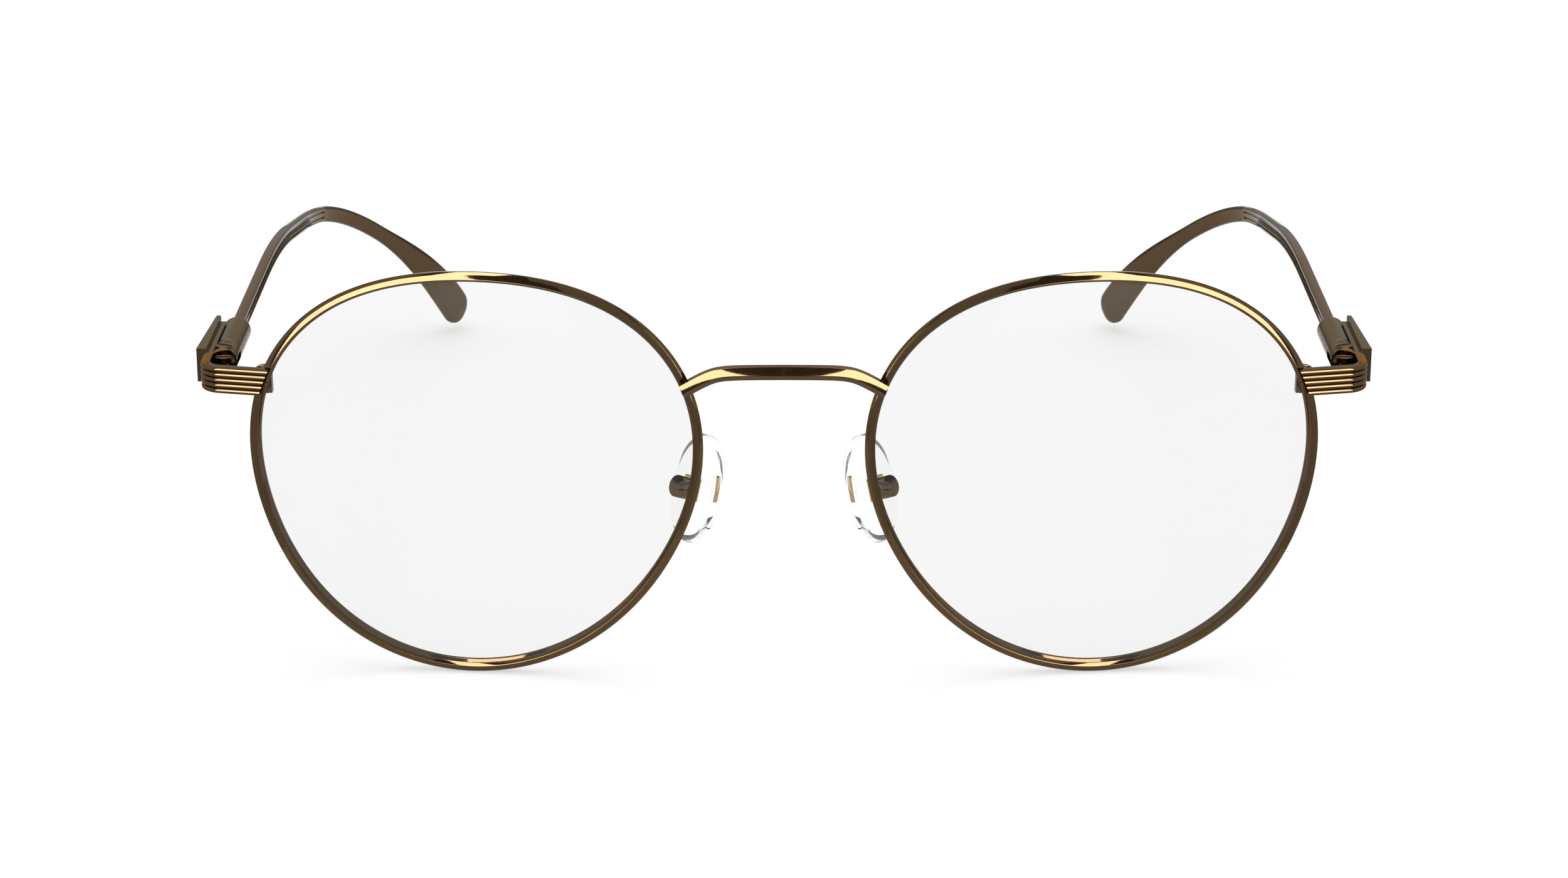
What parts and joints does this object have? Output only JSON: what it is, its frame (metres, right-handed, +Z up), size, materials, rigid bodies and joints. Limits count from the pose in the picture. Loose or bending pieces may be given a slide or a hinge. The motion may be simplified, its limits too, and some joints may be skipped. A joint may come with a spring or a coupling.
{
  "type": "eyeglasses frame",
  "caption": "Full-rim round metal eyeglasses frame with clear lenses, ribbed end pieces, folding temples and rocking nose pads.",
  "frame": {"origin": "on the floor under the middle of the frame's box, with the temples open", "axes": "+Z up, -Y the way the wearer looks, +X to the wearer's left"},
  "size_m": [0.1358, 0.1422, 0.0499],
  "materials": {
    "bronze_plating": "polished antique-bronze plating",
    "gold_plating": "polished light bronze plating",
    "screw_plating": "dark bronze plated steel",
    "clear_lens": "polished clear lens",
    "brown_acetate": "polished brown acetate",
    "clear_silicone": "clear moulded silicone"
  },
  "bodies": {
    "front": {"bridge": "bronze_plating", "rim_left": "bronze_plating", "rim_right": "bronze_plating", "lens_left": "clear_lens", "lens_right": "clear_lens", "end_piece_left": "bronze_plating", "end_piece_right": "bronze_plating", "closing_block_upper_left": "bronze_plating", "closing_block_upper_right": "bronze_plating", "closing_block_lower_left": "bronze_plating", "closing_block_lower_right": "bronze_plating", "closing_screw_left": "screw_plating", "closing_screw_right": "screw_plating", "hinge_block_left": "bronze_plating", "hinge_block_right": "bronze_plating", "hinge_screw_left": "screw_plating", "hinge_screw_right": "screw_plating", "pad_arm_left": "bronze_plating", "pad_arm_right": "bronze_plating", "pad_box_left": "bronze_plating", "pad_box_right": "bronze_plating", "pad_screw_left": "screw_plating", "pad_screw_right": "screw_plating"},
    "temple_left": {"temple_housing_left": "bronze_plating", "temple_bar_left": "bronze_plating", "temple_tip_left": "brown_acetate"},
    "temple_right": {"temple_housing_right": "bronze_plating", "temple_bar_right": "bronze_plating", "temple_tip_right": "brown_acetate"},
    "pad_left": {"pad_insert_left": "gold_plating", "nose_pad_left": "clear_silicone"},
    "pad_right": {"pad_insert_right": "gold_plating", "nose_pad_right": "clear_silicone"}
  },
  "joints": [
    {"name": "temple_left_fold", "type": "hinge", "parent": "front", "child": "temple_left", "pos_m": [0.06485, -0.06067, 0.03702], "axis": [0, 0, 1], "range_deg": [0, 84]},
    {"name": "temple_right_fold", "type": "hinge", "parent": "front", "child": "temple_right", "pos_m": [-0.06485, -0.06067, 0.03702], "axis": [0, 0, -1], "range_deg": [0, 78]},
    {"name": "pad_left_rock", "type": "hinge", "parent": "front", "child": "pad_left", "pos_m": [0.01183, -0.06335, 0.02208], "axis": [-0.6428, -0.766, 0], "range_deg": [-8, 8]},
    {"name": "pad_right_rock", "type": "hinge", "parent": "front", "child": "pad_right", "pos_m": [-0.01183, -0.06335, 0.02208], "axis": [0.6428, -0.766, 0], "range_deg": [-8, 8]}
  ]
}
